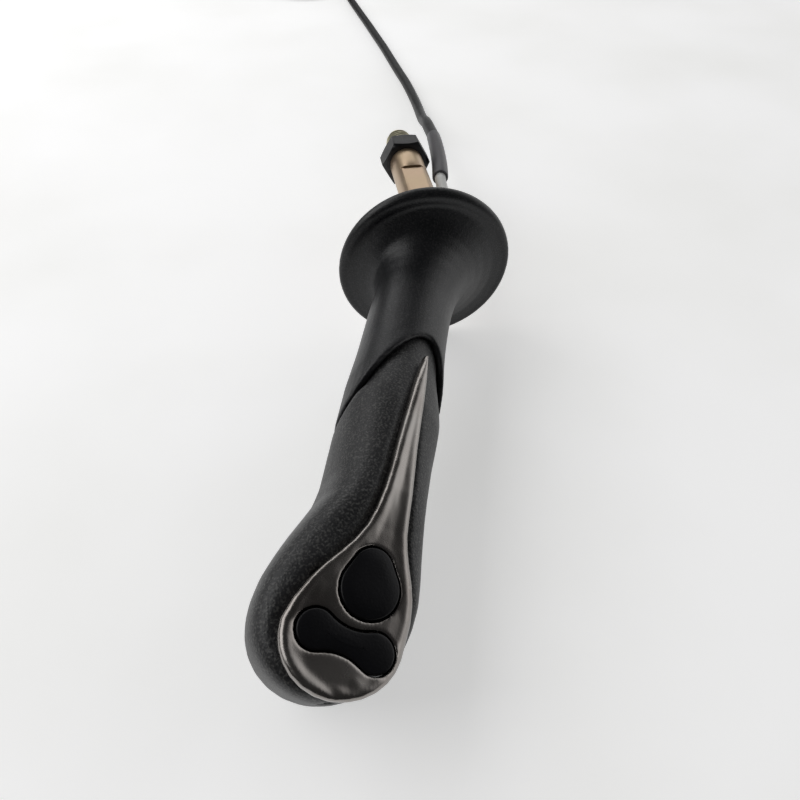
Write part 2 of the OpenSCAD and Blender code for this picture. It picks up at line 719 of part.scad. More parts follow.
// ---- the rod, its socket and the lock nut ----
function from_row(p) = [
    -p[0] * cos(lean) + p[1] * sin(lean),
    -p[0] * sin(lean) - p[1] * cos(lean),
    p[2]
];
bend_at = [rod_x, bend_y, rim_r];               // corner of the bend
up_dir = unit(to_row([4.3, 60, neck_z - 0.9]) - bend_at);
spigot_o = from_row(bend_at);
spigot_v = from_row(up_dir);
spigot_end = 80;                                // how far the turned end reaches in the grip
socket_start = 24;
step_s = 14;                                    // where the rod is turned down
function on_axis(s) = spigot_o + (s - spigot_o[1]) / spigot_v[1] * spigot_v;
// Children stand on the turned end's axis at place s, +Z into the grip
function axes(x, z, o) = let (y = cross(z, x)) [
    [x[0], y[0], z[0], o[0]],
    [x[1], y[1], z[1], o[1]],
    [x[2], y[2], z[2], o[2]]
];
module on_spigot(s)
    multmatrix(axes(unit(cross([0, 0, -1], spigot_v)), spigot_v, on_axis(s))) children();
module along(s0, s1, d, n = 48)
    on_spigot(s0) cylinder(d = d, h = norm(on_axis(s1) - on_axis(s0)), $fn = n);
SET_SCREWS = [51, 63];
module rod_socket()
    color([0.6, 0.6, 0.6])
        grip_frame()
            difference() {
                along(socket_start, spigot_end, socket_d);
                along(socket_start - 5, spigot_end - 3, spigot_d + 0.1);
                for (s = SET_SCREWS)
                    on_spigot(s) rotate([-90, 0, 0]) cylinder(r = 2.05, h = 20, $fn = 24);
            }
module set_screws()
    color([0.25, 0.25, 0.25])
        grip_frame()
            for (s = SET_SCREWS)
                on_spigot(s)
                    rotate([-90, 0, 0])
                        translate([0, 0, spigot_d / 2 + 0.03])
                            difference() {
                                cylinder(r = 2, h = 3.2, $fn = 24);
                                translate([0, 0, 1.6]) cylinder(r = 1, h = 3, $fn = 6);
                            }
bend_turn = acos(-up_dir[1]);                   // angle of the bend
bend_tan = bend_r * tan(bend_turn / 2);         // from its corner to where it starts
bend_c = bend_at + bend_r / cos(bend_turn / 2) * unit(up_dir + [0, 1, 0]);
bend_in = 2;                                    // how far the bend runs into the straight rod
bend_x = unit(bend_at + bend_tan * up_dir - bend_c);
bend_z = unit(cross(bend_x, [0, 1, 0]));
flat_end = 89;                                  // where the wrench flats end
flat_l = 22;
undercut = 0.2;                                 // depth of the thread's run-out, and its length
undercut_l = nut_h + 0.35;
module straight(y, d, h, n = 48)
    translate([rod_x, y, rim_r]) rotate([-90, 0, 0]) cylinder(d = d, h = h, $fn = n);
module chamfered(y, d, h, c)
    translate([rod_x, y, rim_r])
        rotate([-90, 0, 0]) {
            cylinder(d = d, h = h - c, $fn = 48);
            translate([0, 0, h - c]) cylinder(d1 = d, d2 = d - 2 * c, h = c, $fn = 48);
        }
module lever_rod()
    color([0.66, 0.58, 0.46])
        difference() {
            union() {
                placed() {
                    chamfered(bend_y + bend_tan, rod_d, shoulder_y - bend_y - bend_tan, 0.8);
                    straight(shoulder_y - 1, thread_d - 2 * undercut, undercut_l + 1.1);
                    chamfered(shoulder_y + undercut_l, thread_d, thread_l - undercut_l, 1.5);
                    multmatrix(axes(bend_x, bend_z, bend_c))
                        rotate(-bend_in)
                            rotate_extrude(angle = bend_turn + 2 * bend_in, $fn = 96)
                                translate([bend_r, 0]) circle(d = rod_d - 0.1, $fn = 48);
                }
                grip_frame() {
                    bend_s = spigot_o[1] + bend_tan * spigot_v[1];
                    along(bend_s, step_s, rod_d);
                    along(step_s - 1, spigot_end - 4, spigot_d);
                }
            }
            placed()
                for (k = [-1, 1])
                    translate([rod_x - 15, flat_end - flat_l, rim_r + (k > 0 ? flat_w / 2 : -flat_w / 2 - 5)])
                        cube([30, flat_l, 5]);
        }
module lock_nut()
    color([0.1, 0.1, 0.11])
        placed()
            translate([rod_x, shoulder_y + 0.05, rim_r])
                rotate([-90, 0, 0])
                    difference() {
                        intersection() {
                            cylinder(d = nut_af / cos(30), h = nut_h, $fn = 6);
                            rotate_extrude($fn = 72)
                                polygon([
                                    [0, 0], [nut_af / 2 * 0.96, 0], [nut_af / 2 * 1.16, nut_af * 0.06],
                                    [nut_af / 2 * 1.16, nut_h - nut_af * 0.06], [nut_af / 2 * 0.96, nut_h],
                                    [0, nut_h]
                                ]);
                        }
                        translate([0, 0, -1]) cylinder(d = thread_d + 0.08, h = nut_h + 2, $fn = 48);
                    }

// ---- the leads and the cord ----
// Smooth line through a list of points
function bow(p, i, f) =
    let (
        n = len(p) - 1,
        a = p[max(i - 1, 0)], b = p[i], c = p[min(i + 1, n)], d = p[min(i + 2, n)]
    )
    0.5 * (2 * b + (c - a) * f + (2 * a - 5 * b + 4 * c - d) * f ^ 2 + (3 * b - a - 3 * c + d) * f ^ 3);
function smooth(p, k) = concat(
    [for (i = [0 : len(p) - 2], j = [0 : k - 1]) bow(p, i, j / k)],
    [p[len(p) - 1]]
);
function heading(p, i) = unit(p[min(i + 1, len(p) - 1)] - p[max(i - 1, 0)]);
function ring(p, v, r, n) =
    let (a = unit(cross(v, [0, 0, 1])), b = cross(a, v))
    [for (i = [0 : n - 1]) p + r * (cos(360 / n * i) * a + sin(360 / n * i) * b)];
// A tube along a line, d thick at its start and e at its end
module tube(line, d, e, n = 10)
    loft([
        for (i = [0 : len(line) - 1])
            ring(line[i], heading(line, i), mix(d, e, i / (len(line) - 1)) / 2, n)
    ]);
// Where the leads lie beside the rod at place s of the grip
function lead_at(s) = on_axis(s) - [mix(12, 9.9, ease((s - 14) / 10)), 0, 0];
LEAD = [
    lead_at(16.2), lead_at(20), lead_at(30), lead_at(50), lead_at(70), lead_at(84),
    [-3.6, at(97), 25], [-2, at(110), 23], [-0.6, at(120), 22],
    off_face([0, plug_y - 7, board_top - board_t - 3]),
    off_face([0, plug_y - 0.2, board_top - board_t - 3])
];
module inner_lead()
    color([0.8, 0.8, 0.78])
        grip_frame() tube(smooth(LEAD, 2), lead_d, lead_d);
TUBE = [
    to_row(lead_at(16)), to_row(lead_at(2)), to_row(lead_at(-14)), to_row(lead_at(-30)),
    [21, 50, 35.2], [22.2, 64, 35.1], [23.4, 76, 35]
];
SLEEVE = [[23.4, 76, 35], [24.8, 88, 35], [26.4, 104, 34.6], [28.2, 120, 33.4], [30, 135, 31]];
CORD = [
    [30, 135, 31], [31, 150, 28.6], [32.4, 166, 25.4], [34, 180, 21], [35.6, 192, 16.5],
    [37.4, 206, 12], [39, 222, 8.4], [40.4, 238, 6], [41.2, 254, 4.6], [41.5, 270, 3.7],
    [40.8, 296, 3.6], [39, 322, 3.6], [37, 352, 3.6], [35, 384, 3.6], [32, 420, 3.6],
    [29, 456, 3.6], [25, 500, 3.6], [21.5, 540, 3.6], [20.2, 560, 3.7], [20, 580, 4.1],
    [20, 600, 4.5]
];
coil_at = [20 - coil_r - cord_d / 2, 610];      // middle of the coil
TAIL = [
    [13, 620, 10], [13.4, 632, 12], [14.4, 644, 11.4], [15.6, 652, 9.8], [16, 658, 9],
    [16, 664, 9]
];
tie_t = 0.8;                                    // thickness of the tie under the coil
module lead_tube()
    color([0.9, 0.9, 0.88]) placed() tube(smooth(TUBE, 2), tube_d, tube_d);
module cord_sleeve()
    color([0.36, 0.35, 0.38]) placed() tube(smooth(SLEEVE, 2), sleeve_d, cord_d + 0.9);
module cord()
    color([0.16, 0.16, 0.17])
        placed() {
            tube(smooth(CORD, 2), cord_d, cord_d);
            tube(smooth(TAIL, 1), cord_d, cord_d);
        }
// Section of the coil: its turns lie side by side, grown by g
module turns(g) {
    w = cord_d * (coil_turns - 1);
    translate([coil_r, tie_t + 0.2 + cord_d / 2]) {
        for (k = [-0.5, 0.5]) translate([k * w, 0]) circle(d = cord_d + 2 * g, $fn = 24);
        square([w, cord_d + 2 * g], center = true);
    }
}
module on_coil() placed() translate([coil_at[0], coil_at[1], 0]) children();
module cord_coil()
    color([0.16, 0.16, 0.17]) on_coil() rotate_extrude($fn = 72) turns(0);
module cord_tie()
    color([0.05, 0.05, 0.05])
        on_coil()
            rotate(172)
                rotate_extrude(angle = 16, $fn = 72)
                    difference() {
                        turns(tie_t);
                        turns(0.03);
                    }
plug_d = 18;                                    // widest part of the plug
boot_l = 20;
body_l = 24;
lock_l = 12;
// Children stand where the boot begins, +Z towards the pins
module on_plug()
    placed() translate(TAIL[len(TAIL) - 1]) rotate([-90, 0, 0]) children();
module plug_boot()
    color([0.08, 0.08, 0.08])
        on_plug()
            rotate_extrude($fn = 40)
                polygon([[0, 0], [4.6, 0], [4.8, 3], [5.6, 12], [6.6, boot_l], [0, boot_l]]);
module plug_body()
    color([0.1, 0.1, 0.1])
        on_plug()
            translate([0, 0, boot_l])
                difference() {
                    union() {
                        cylinder(d = plug_d - 1, h = 8);
                        cylinder(d = plug_d - 4, h = body_l);
                    }
                    translate([0, 0, body_l - 7]) cylinder(d = plug_d - 7, h = 9);
                }
module plug_lock()
    color([0.12, 0.12, 0.12])
        on_plug()
            translate([0, 0, boot_l + 9])
                difference() {
                    cylinder(d = plug_d, h = lock_l);
                    translate([0, 0, -1]) cylinder(d = plug_d - 3.9, h = lock_l + 2);
                    for (i = [0 : 11])
                        rotate(30 * i)
                            translate([plug_d / 2 + 0.4, 0, 1.5]) cylinder(r = 1, h = lock_l - 3, $fn = 13);
                }
module plug_pins()
    color([0.8, 0.7, 0.4])
        on_plug()
            for (i = [0 : 4])
                rotate(72 * i)
                    translate([3.1, 0, boot_l + body_l - 7]) cylinder(d = 1.2, h = 5.5, $fn = 16);

// Middle of the joystick without its cord, over the points that reach furthest
FURTHEST = concat(
    [for (j = [8 : len(stations(0, shell_start, 0)) - 1], t = CORNERS)
        to_row(skin(stations(t, shell_start, 0)[j], t))],
    [for (s = trim_places(0), f = ACROSS)
        to_row(face(trim_mid(s) + f * trim_half(s), s, trim_top(f, s)))],
    [[rod_x, shoulder_y + thread_l, 0], [-rim_r, 0, 0], [rim_r, 0, 0]]
);
function middle(i) =
    let (v = [for (p = FURTHEST) p[i]]) (min(v) + max(v)) / 2;
mid_x = middle(0);
mid_y = middle(1);

skirt();
rear_shell();
front_shell();
face_trim();
trim_screws();
horn_button();
horn_spring();
rocker();
rocker_pin();
rocker_springs();
button_carrier();
carrier_screws();
switch_board();
board_screws();
horn_switch();
horn_plunger();
rocker_switches();
rocker_plunger_left();
rocker_plunger_right();
board_connector();
inner_lead();
shell_screws();
rod_socket();
set_screws();
lever_rod();
lock_nut();
lead_tube();
cord_sleeve();
cord();
cord_coil();
cord_tie();
plug_boot();
plug_body();
plug_lock();
plug_pins();
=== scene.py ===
import json
import math

import bmesh
import bpy
from mathutils import Matrix, Vector


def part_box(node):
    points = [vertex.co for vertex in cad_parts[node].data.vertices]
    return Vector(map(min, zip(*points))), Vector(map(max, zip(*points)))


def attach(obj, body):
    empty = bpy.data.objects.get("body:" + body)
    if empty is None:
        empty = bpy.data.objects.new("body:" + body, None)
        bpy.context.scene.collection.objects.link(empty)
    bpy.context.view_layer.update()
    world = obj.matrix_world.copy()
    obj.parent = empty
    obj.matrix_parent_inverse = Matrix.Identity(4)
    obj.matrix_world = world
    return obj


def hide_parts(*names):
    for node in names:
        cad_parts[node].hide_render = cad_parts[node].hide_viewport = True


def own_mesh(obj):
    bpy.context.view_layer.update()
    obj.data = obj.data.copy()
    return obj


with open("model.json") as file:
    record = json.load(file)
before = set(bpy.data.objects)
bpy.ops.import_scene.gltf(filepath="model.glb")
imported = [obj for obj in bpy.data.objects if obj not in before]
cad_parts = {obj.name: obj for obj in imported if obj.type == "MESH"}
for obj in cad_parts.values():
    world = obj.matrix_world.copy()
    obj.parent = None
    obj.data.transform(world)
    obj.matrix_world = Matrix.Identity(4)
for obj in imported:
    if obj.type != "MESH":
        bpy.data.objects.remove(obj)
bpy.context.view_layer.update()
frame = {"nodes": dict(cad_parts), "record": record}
NODES = frame["nodes"]
SCENE = bpy.context.scene
MM = 0.001

# The far end of the lever rod, which is 18 mm across, and the line its threaded end lies on
ROD_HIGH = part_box("lever_rod")[1]
STUB_X = ROD_HIGH.x - 9 * MM
# The table under the middle of the bell's mouth, from which places are measured
UNDER_BELL = Vector((STUB_X - 7.5 * MM, ROD_HIGH.y - 124 * MM, 0))


def place(x, y, z):
    """A place given in millimetres from the table under the middle of the bell's mouth."""
    return Vector((x, y, z)) * MM + UNDER_BELL


# ---- stage: floor, light and camera ----
# How bright the room is in its dark and its bright part, and which way the bright part lies
ROOM_DARK, ROOM_BRIGHT = 0.04, 1.15
BRIGHT_WAY = (0.9, 0.42, -0.1)
# How much the floor is lifted towards white where it is looked at
FLOOR_LIFT = 0.56
# The camera: its place and its lens in millimetres, and the degrees it looks down and right
EYE = (-43, -207, 181.1)
LENS = 27
LOOK_DOWN, LOOK_RIGHT = 47, 8.9


def area(name, spot, aim, size, watts):
    """A soft rectangular lamp at a spot, turned towards its aim."""
    lamp = bpy.data.lights.new(name, "AREA")
    lamp.shape = "RECTANGLE"
    lamp.size, lamp.size_y = size
    lamp.energy = watts
    ob = bpy.data.objects.new(name, lamp)
    ob.location = spot
    ob.rotation_euler = (Vector(aim) - Vector(spot)).to_track_quat("-Z", "Y").to_euler()
    SCENE.collection.objects.link(ob)


def room_air():
    """A room that lights from beyond the right of the table, and that the camera sees as white."""
    world = bpy.data.worlds.new("studio_air")
    SCENE.world = world
    world.use_nodes = True
    nodes, links = world.node_tree.nodes, world.node_tree.links
    nodes.clear()
    out = nodes.new("ShaderNodeOutputWorld")
    way = nodes.new("ShaderNodeTexCoord")
    towards = nodes.new("ShaderNodeVectorMath")
    towards.operation = "DOT_PRODUCT"
    towards.inputs[1].default_value = BRIGHT_WAY
    links.new(way.outputs["Generated"], towards.inputs[0])
    depth = nodes.new("ShaderNodeMapRange")
    depth.interpolation_type = "SMOOTHSTEP"
    depth.inputs["From Min"].default_value = 0.5
    depth.inputs["From Max"].default_value = 0.9
    depth.inputs["To Min"].default_value = ROOM_DARK
    depth.inputs["To Max"].default_value = ROOM_BRIGHT
    links.new(towards.outputs["Value"], depth.inputs["Value"])
    soft = nodes.new("ShaderNodeBackground")
    soft.inputs["Color"].default_value = (1, 1, 1, 1)
    links.new(depth.outputs[0], soft.inputs["Strength"])
    seen = nodes.new("ShaderNodeBackground")
    seen.inputs["Color"].default_value = (1, 1, 1, 1)
    seen.inputs["Strength"].default_value = 1.0
    path = nodes.new("ShaderNodeLightPath")
    mix = nodes.new("ShaderNodeMixShader")
    links.new(path.outputs["Is Camera Ray"], mix.inputs[0])
    links.new(soft.outputs[0], mix.inputs[1])
    links.new(seen.outputs[0], mix.inputs[2])
    links.new(mix.outputs[0], out.inputs[0])


def lay_floor():
    """A wide floor, just below what rests on it."""
    bm = bmesh.new()
    bmesh.ops.create_grid(bm, x_segments=1, y_segments=1, size=4)
    mesh = bpy.data.meshes.new("floor")
    bm.to_mesh(mesh)
    bm.free()
    floor = bpy.data.objects.new("floor", mesh)
    floor.location = (0, 1.0, -0.2 * MM)
    SCENE.collection.objects.link(floor)
    floor.data.materials.append(floor_paint())


def set_camera():
    lens = bpy.data.cameras.new("camera")
    lens.sensor_width = 36
    lens.lens = LENS
    lens.clip_start = 0.01
    lens.clip_end = 20
    eye = bpy.data.objects.new("camera", lens)
    eye.location = place(*EYE)
    eye.rotation_euler = (math.radians(90 - LOOK_DOWN), 0, math.radians(-LOOK_RIGHT))
    SCENE.collection.objects.link(eye)
    SCENE.camera = eye


def studio():
    """The room, the floor, two soft windows in metres and watts, and the camera."""
    SCENE.view_settings.view_transform = "Standard"
    room_air()
    lay_floor()
    area("window_left", (-0.9, 0.3, 0.85), (0, 0.05, 0.02), (1.3, 1.0), 7.4)
    area("window_back", (-0.1, 1.15, 0.75), (0, 0.1, 0.02), (1.2, 0.5), 3.1)
    set_camera()


def floor_paint():
    """White table top with faint stains: lit plainly, and lifted where it is looked at."""
    mat = bpy.data.materials.new("white_table")
    mat.use_nodes = True
    nodes, links = mat.node_tree.nodes, mat.node_tree.links
    nodes.clear()
    out = nodes.new("ShaderNodeOutputMaterial")
    table = nodes.new("ShaderNodeBsdfPrincipled")
    table.inputs["Roughness"].default_value = 0.6
    table.inputs["Specular IOR Level"].default_value = 0.15
    where = nodes.new("ShaderNodeTexCoord")
    stains = nodes.new("ShaderNodeTexNoise")
    stains.inputs["Scale"].default_value = 7.0
    stains.inputs["Detail"].default_value = 6.0
    tone = nodes.new("ShaderNodeValToRGB")
    tone.color_ramp.elements[0].position = 0.3
    tone.color_ramp.elements[0].color = (0.82, 0.82, 0.81, 1)
    tone.color_ramp.elements[1].position = 0.6
    tone.color_ramp.elements[1].color = (0.87, 0.87, 0.87, 1)
    glow = nodes.new("ShaderNodeEmission")
    glow.inputs["Strength"].default_value = FLOOR_LIFT
    path = nodes.new("ShaderNodeLightPath")
    looked_at = nodes.new("ShaderNodeMath")
    looked_at.operation = "MAXIMUM"
    lifted = nodes.new("ShaderNodeMixShader")
    both = nodes.new("ShaderNodeAddShader")
    links.new(where.outputs["Object"], stains.inputs["Vector"])
    links.new(stains.outputs["Fac"], tone.inputs["Fac"])
    links.new(tone.outputs["Color"], table.inputs["Base Color"])
    links.new(tone.outputs["Color"], glow.inputs["Color"])
    links.new(table.outputs[0], both.inputs[0])
    links.new(glow.outputs[0], both.inputs[1])
    links.new(path.outputs["Is Camera Ray"], looked_at.inputs[0])
    links.new(path.outputs["Is Glossy Ray"], looked_at.inputs[1])
    links.new(looked_at.outputs[0], lifted.inputs[0])
    links.new(table.outputs[0], lifted.inputs[1])
    links.new(both.outputs[0], lifted.inputs[2])
    links.new(lifted.outputs[0], out.inputs[0])
    return mat


# ---- finishes ----
def group_of(name, inputs, outputs):
    """An empty node group with its named sockets, and its two end nodes."""
    group = bpy.data.node_groups.new(name, "ShaderNodeTree")
    for label, kind, value in inputs:
        made = group.interface.new_socket(name=label, in_out="INPUT", socket_type=kind)
        if value is not None:
            made.default_value = value
    for label, kind in outputs:
        group.interface.new_socket(name=label, in_out="OUTPUT", socket_type=kind)
    return group, group.nodes.new("NodeGroupInput"), group.nodes.new("NodeGroupOutput")


def feed(group, value, end):
    """Sets a socket to a number, or links it to another socket."""
    if isinstance(value, (int, float)):
        end.default_value = value
    else:
        group.links.new(value, end)


def math_node(group, what, first, second):
    """A sum on two values, each a number or a socket."""
    node = group.nodes.new("ShaderNodeMath")
    node.operation = what
    feed(group, first, node.inputs[0])
    feed(group, second, node.inputs[1])
    return node.outputs[0]


def noise(group, vector, scale, detail=2.0, rough=0.5):
    """A noise texture on a vector, with a number or a socket for its scale."""
    node = group.nodes.new("ShaderNodeTexNoise")
    node.inputs["Detail"].default_value = detail
    node.inputs["Roughness"].default_value = rough
    feed(group, scale, node.inputs["Scale"])
    group.links.new(vector, node.inputs["Vector"])
    return node.outputs["Fac"]


def make_moulded_grain():
    """Fine pebbled texture of a moulded surface: pebbles of one size over a slow swell."""
    group, given, result = group_of(
        "moulded_grain",
        [
            ("Vector", "NodeSocketVector", None),
            ("Scale", "NodeSocketFloat", 900.0),
            ("Swell", "NodeSocketFloat", 0.3),
        ],
        [("Height", "NodeSocketFloat")],
    )
    cells = group.nodes.new("ShaderNodeTexVoronoi")
    cells.feature = "SMOOTH_F1"
    cells.inputs["Smoothness"].default_value = 0.7
    group.links.new(given.outputs["Vector"], cells.inputs["Vector"])
    group.links.new(given.outputs["Scale"], cells.inputs["Scale"])
    swell = noise(group, given.outputs["Vector"], 140.0, 3.0)
    fine = noise(group, given.outputs["Vector"], 3200.0, 1.0)
    low = math_node(group, "MULTIPLY", swell, given.outputs["Swell"])
    high = math_node(group, "SUBTRACT", 1.0, cells.outputs["Distance"])
    both = math_node(group, "ADD", high, low)
    more = math_node(group, "MULTIPLY", fine, 0.25)
    group.links.new(math_node(group, "ADD", both, more), result.inputs["Height"])
    return group


def make_tone_drift():
    """Slow change between two colours, as on a handled or plated part."""
    group, given, result = group_of(
        "tone_drift",
        [
            ("Vector", "NodeSocketVector", None),
            ("Scale", "NodeSocketFloat", 40.0),
            ("Light", "NodeSocketColor", (0.5, 0.5, 0.5, 1)),
            ("Dark", "NodeSocketColor", (0.4, 0.4, 0.4, 1)),
            ("Sharpness", "NodeSocketFloat", 0.35),
        ],
        [("Color", "NodeSocketColor"), ("Mask", "NodeSocketFloat")],
    )
    fac = noise(group, given.outputs["Vector"], given.outputs["Scale"], 4.0, 0.6)
    low = math_node(group, "SUBTRACT", fac, 0.5)
    wide = math_node(group, "DIVIDE", low, given.outputs["Sharpness"])
    mask = math_node(group, "ADD", wide, 0.5)
    keep = group.nodes.new("ShaderNodeClamp")
    group.links.new(mask, keep.inputs["Value"])
    mix = group.nodes.new("ShaderNodeMix")
    mix.data_type = "RGBA"
    group.links.new(keep.outputs[0], mix.inputs["Factor"])
    group.links.new(given.outputs["Dark"], mix.inputs["A"])
    group.links.new(given.outputs["Light"], mix.inputs["B"])
    group.links.new(mix.outputs["Result"], result.inputs["Color"])
    group.links.new(keep.outputs[0], result.inputs["Mask"])
    return group


def make_worn_edge():
    """Mask of the edges that hands and tools rub, broken up by noise."""
    group, given, result = group_of(
        "worn_edge",
        [("Vector", "NodeSocketVector", None), ("Amount", "NodeSocketFloat", 0.5)],
        [("Mask", "NodeSocketFloat")],
    )
    geo = group.nodes.new("ShaderNodeNewGeometry")
    edge = group.nodes.new("ShaderNodeMapRange")
    edge.inputs["From Min"].default_value = 0.52
    edge.inputs["From Max"].default_value = 0.62
    group.links.new(geo.outputs["Pointiness"], edge.inputs["Value"])
    patch = noise(group, given.outputs["Vector"], 260.0, 4.0, 0.7)
    part = math_node(group, "MULTIPLY", edge.outputs[0], patch)
    mask = math_node(group, "MULTIPLY", part, given.outputs["Amount"])
    group.links.new(mask, result.inputs["Mask"])
    return group


def make_painted_glints():
    """Painted glints: small pale dots, as a mask, that stand in for the light caught by the tips of
    a pebbled skin.
    """
    group, given, result = group_of(
        "painted_pebble_glints",
        [("Vector", "NodeSocketVector", None), ("Scale", "NodeSocketFloat", 1500.0)],
        [("Mask", "NodeSocketFloat")],
    )
    glint_dots = noise(group, given.outputs["Vector"], given.outputs["Scale"], 1.0)
    pick = group.nodes.new("ShaderNodeMapRange")
    pick.inputs["From Min"].default_value = 0.5
    pick.inputs["From Max"].default_value = 0.68
    group.links.new(glint_dots, pick.inputs["Value"])
    group.links.new(pick.outputs[0], result.inputs["Mask"])
    return group


GRAIN = make_moulded_grain()
PAINTED_GLINTS = make_painted_glints()
DRIFT = make_tone_drift()
WORN = make_worn_edge()


def use_group(mat, group, spot, **values):
    """A group placed in a material, on its coordinates and with its own values."""
    node = mat.node_tree.nodes.new("ShaderNodeGroup")
    node.node_tree = group
    for label, value in values.items():
        node.inputs[label].default_value = value
    mat.node_tree.links.new(spot, node.inputs["Vector"])
    return node


def laid_over(mat, under, colour, mask):
    """A colour laid over another where the mask says."""
    mix = mat.node_tree.nodes.new("ShaderNodeMix")
    mix.data_type = "RGBA"
    mix.inputs["B"].default_value = (*colour, 1)
    mat.node_tree.links.new(mask, mix.inputs["Factor"])
    mat.node_tree.links.new(under, mix.inputs["A"])
    return mix.outputs["Result"]


# The painted glints' scale, the coat's roughness, and how far roughness swings between the two
# tones
GLINT_SCALE = 1500.0
COAT_ROUGH = 0.25
ROUGH_DRIFT = 0.06


def finish(
    name, light, dark, rough, metal=0.0, drift=40.0, sharp=0.4, grain=0.0, grain_scale=900.0,
    worn=0.0, worn_colour=(0.3, 0.3, 0.3), spec=0.5, coat=0.0, swell=0.3, painted_glint=None,
):
    """Two tones that drift, with rubbed edges, painted glints and a moulded grain where they are
    given.
    """
    mat = bpy.data.materials.new(name)
    mat.use_nodes = True
    nodes, links = mat.node_tree.nodes, mat.node_tree.links
    shader = nodes["Principled BSDF"]
    shader.inputs["Metallic"].default_value = metal
    shader.inputs["Specular IOR Level"].default_value = spec
    if coat:
        shader.inputs["Coat Weight"].default_value = coat
        shader.inputs["Coat Roughness"].default_value = COAT_ROUGH
    spot = nodes.new("ShaderNodeTexCoord").outputs["Object"]
    tone = use_group(
        mat, DRIFT, spot, Scale=drift, Light=(*light, 1), Dark=(*dark, 1), Sharpness=sharp
    )
    colour = tone.outputs["Color"]
    if worn:
        rub = use_group(mat, WORN, spot, Amount=worn)
        colour = laid_over(mat, colour, worn_colour, rub.outputs["Mask"])
    # Painted glints: pale dots laid into the base colour where the pebbles would catch light
    if painted_glint:
        glint_dots = use_group(mat, PAINTED_GLINTS, spot, Scale=GLINT_SCALE)
        colour = laid_over(mat, colour, painted_glint, glint_dots.outputs["Mask"])
    links.new(colour, shader.inputs["Base Color"])
    spread = nodes.new("ShaderNodeMapRange")
    spread.inputs["To Min"].default_value = rough - ROUGH_DRIFT
    spread.inputs["To Max"].default_value = rough + ROUGH_DRIFT
    links.new(tone.outputs["Mask"], spread.inputs["Value"])
    links.new(spread.outputs[0], shader.inputs["Roughness"])
    if grain:
        pebbles = use_group(mat, GRAIN, spot, Scale=grain_scale, Swell=swell)
        bump = nodes.new("ShaderNodeBump")
        bump.inputs["Strength"].default_value = 1.0
        bump.inputs["Distance"].default_value = grain
        links.new(pebbles.outputs["Height"], bump.inputs["Height"])
        links.new(bump.outputs["Normal"], shader.inputs["Normal"])
    return mat


# Both blacks carry painted glints on their pebbles, dimmer on the bell than on the shells
BELL_BLACK = finish(
    "bell_black", (0.011, 0.012, 0.014), (0.007, 0.0075, 0.009), 0.42, drift=30,
    grain=0.05 * MM, grain_scale=1900, swell=0.0, spec=0.45, painted_glint=(0.03, 0.03, 0.032),
)
SHELL_BLACK = finish(
    "shell_black", (0.013, 0.013, 0.015), (0.008, 0.008, 0.009), 0.46, drift=35,
    grain=0.09 * MM, grain_scale=1600, swell=0.0, spec=0.5, painted_glint=(0.075, 0.075, 0.072),
)
BUTTON_BLACK = finish(
    "button_black", (0.006, 0.006, 0.008), (0.004, 0.004, 0.005), 0.38, drift=60,
    grain=0.03 * MM, grain_scale=1800, spec=0.25,
)
TRIM_METAL = finish(
    "trim_metal", (0.36, 0.345, 0.33), (0.25, 0.225, 0.21), 0.27, metal=1.0, drift=45, sharp=0.5,
    grain=0.008 * MM, grain_scale=2500, worn=0.3, worn_colour=(0.6, 0.59, 0.57),
)
ROD_ZINC = finish(
    "rod_zinc", (0.55, 0.43, 0.28), (0.46, 0.32, 0.23), 0.36, metal=0.9, drift=90, sharp=0.5,
    grain=0.01 * MM, grain_scale=2200, worn=0.3, worn_colour=(0.8, 0.72, 0.45),
)
STUB_ZINC = finish(
    "stub_zinc", (0.78, 0.73, 0.5), (0.5, 0.46, 0.3), 0.36, metal=0.9, drift=160, sharp=0.5,
    grain=0.01 * MM, grain_scale=2200, worn=0.6, worn_colour=(0.75, 0.72, 0.6),
)
NUT_BLACK = finish(
    "nut_black", (0.012, 0.012, 0.014), (0.007, 0.007, 0.008), 0.42, metal=0.2, drift=130,
    grain=0.02 * MM, grain_scale=1500, worn=0.5, worn_colour=(0.12, 0.12, 0.12),
)
SLEEVE_GREY = finish(
    "sleeve_grey", (0.1, 0.096, 0.105), (0.075, 0.072, 0.08), 0.45, drift=70,
    grain=0.04 * MM, grain_scale=700,
)
CORD_GREY = finish(
    "cord_grey", (0.012, 0.012, 0.013), (0.008, 0.008, 0.009), 0.5, drift=60,
    grain=0.03 * MM, grain_scale=900,
)
LEAD_WHITE = finish(
    "lead_white", (0.82, 0.82, 0.8), (0.7, 0.7, 0.68), 0.45, drift=90,
    grain=0.02 * MM, grain_scale=900,
)
PLUG_BLACK = finish(
    "plug_black", (0.03, 0.03, 0.032), (0.02, 0.02, 0.021), 0.5, drift=90,
    grain=0.04 * MM, grain_scale=1200, worn=0.2, worn_colour=(0.1, 0.1, 0.1),
)
TIE_BLACK = finish(
    "tie_black", (0.02, 0.02, 0.021), (0.012, 0.012, 0.013), 0.8, drift=200,
    grain=0.12 * MM, grain_scale=1600,
)
STEEL = finish(
    "plain_steel", (0.62, 0.62, 0.62), (0.5, 0.5, 0.5), 0.3, metal=1.0, drift=200,
    grain=0.01 * MM, grain_scale=2500,
)
DARK_STEEL = finish(
    "dark_steel", (0.1, 0.1, 0.1), (0.06, 0.06, 0.06), 0.4, metal=0.8, drift=200,
    grain=0.01 * MM, grain_scale=2500,
)
ALLOY = finish(
    "turned_alloy", (0.55, 0.55, 0.56), (0.45, 0.45, 0.46), 0.35, metal=1.0, drift=120,
    grain=0.01 * MM, grain_scale=2500,
)
CARRIER_IVORY = finish(
    "carrier_ivory", (0.7, 0.68, 0.6), (0.62, 0.6, 0.53), 0.5, drift=60,
    grain=0.03 * MM, grain_scale=1200,
)
BOARD_GREEN = finish(
    "board_green", (0.03, 0.16, 0.06), (0.02, 0.12, 0.045), 0.35, drift=150, coat=0.4,
    grain=0.02 * MM, grain_scale=900,
)
